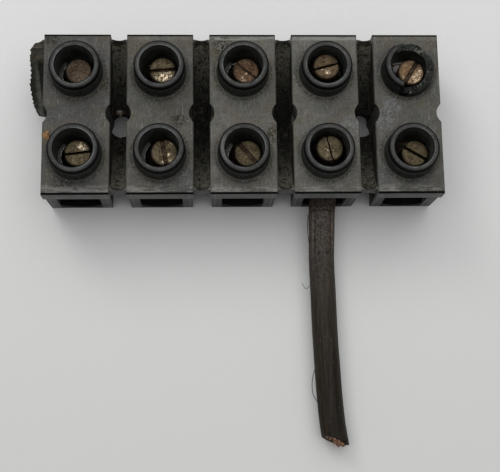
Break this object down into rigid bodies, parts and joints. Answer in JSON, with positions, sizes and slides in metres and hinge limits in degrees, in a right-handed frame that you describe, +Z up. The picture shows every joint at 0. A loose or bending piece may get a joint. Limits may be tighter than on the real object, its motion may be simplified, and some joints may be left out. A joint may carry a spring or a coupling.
{
  "type": "barrier terminal strip",
  "caption": "Black moulded screw terminal strip with tall round collars over slotted brass clamp screws, webs broken at one end, a short brown wire stub in one pole.",
  "frame": {"origin": "centre of the underside of the middle block", "axes": "+X along the strip with the broken web at -X, -Y is the side the wire leaves from, +Z up out of the screw collars"},
  "size_m": [0.0586, 0.0572, 0.0135],
  "materials": {
    "moulding": "old black moulding, half gloss, with dust, scratches and grime",
    "barrel": "dull drawn brass",
    "screw": "tarnished turned brass with worn bright spots",
    "insulation": "stiff old brown-black sleeve with lengthwise streaks",
    "copper": "dull stranded copper"
  },
  "bodies": {
    "strip": {"housing": "moulding", "terminal_barrel_1": "barrel", "terminal_barrel_2": "barrel", "terminal_barrel_3": "barrel", "terminal_barrel_4": "barrel", "terminal_barrel_5": "barrel", "wire_insulation": "insulation", "wire_conductor": "copper"},
    "screw_back_1": {"clamp_screw_back_1": "screw"},
    "screw_back_2": {"clamp_screw_back_2": "screw"},
    "screw_back_3": {"clamp_screw_back_3": "screw"},
    "screw_back_4": {"clamp_screw_back_4": "screw"},
    "screw_back_5": {"clamp_screw_back_5": "screw"},
    "screw_front_1": {"clamp_screw_front_1": "screw"},
    "screw_front_2": {"clamp_screw_front_2": "screw"},
    "screw_front_3": {"clamp_screw_front_3": "screw"},
    "screw_front_4": {"clamp_screw_front_4": "screw"},
    "screw_front_5": {"clamp_screw_front_5": "screw"}
  },
  "joints": [
    {"name": "back_clamp_1", "type": "slide", "parent": "strip", "child": "screw_back_1", "axis": [0, 0, 1], "range_m": [-0.00197, 0.00077]},
    {"name": "back_clamp_2", "type": "slide", "parent": "strip", "child": "screw_back_2", "axis": [0, 0, 1], "range_m": [-0.00247, 0.00027]},
    {"name": "back_clamp_3", "type": "slide", "parent": "strip", "child": "screw_back_3", "axis": [0, 0, 1], "range_m": [-0.00217, 0.00057]},
    {"name": "back_clamp_4", "type": "slide", "parent": "strip", "child": "screw_back_4", "axis": [0, 0, 1], "range_m": [-0.00163, 0.00111]},
    {"name": "back_clamp_5", "type": "slide", "parent": "strip", "child": "screw_back_5", "axis": [0, 0, 1], "range_m": [-0.00167, 0.00107]},
    {"name": "front_clamp_1", "type": "slide", "parent": "strip", "child": "screw_front_1", "axis": [0, 0, 1], "range_m": [-0.00227, 0.00047]},
    {"name": "front_clamp_2", "type": "slide", "parent": "strip", "child": "screw_front_2", "axis": [0, 0, 1], "range_m": [-0.00247, 0.00027]},
    {"name": "front_clamp_3", "type": "slide", "parent": "strip", "child": "screw_front_3", "axis": [0, 0, 1], "range_m": [-0.00187, 0.00087]},
    {"name": "front_clamp_4", "type": "slide", "parent": "strip", "child": "screw_front_4", "axis": [0, 0, 1], "range_m": [-0.00072, 0.00111]},
    {"name": "front_clamp_5", "type": "slide", "parent": "strip", "child": "screw_front_5", "axis": [0, 0, 1], "range_m": [-0.00167, 0.00107]}
  ]
}
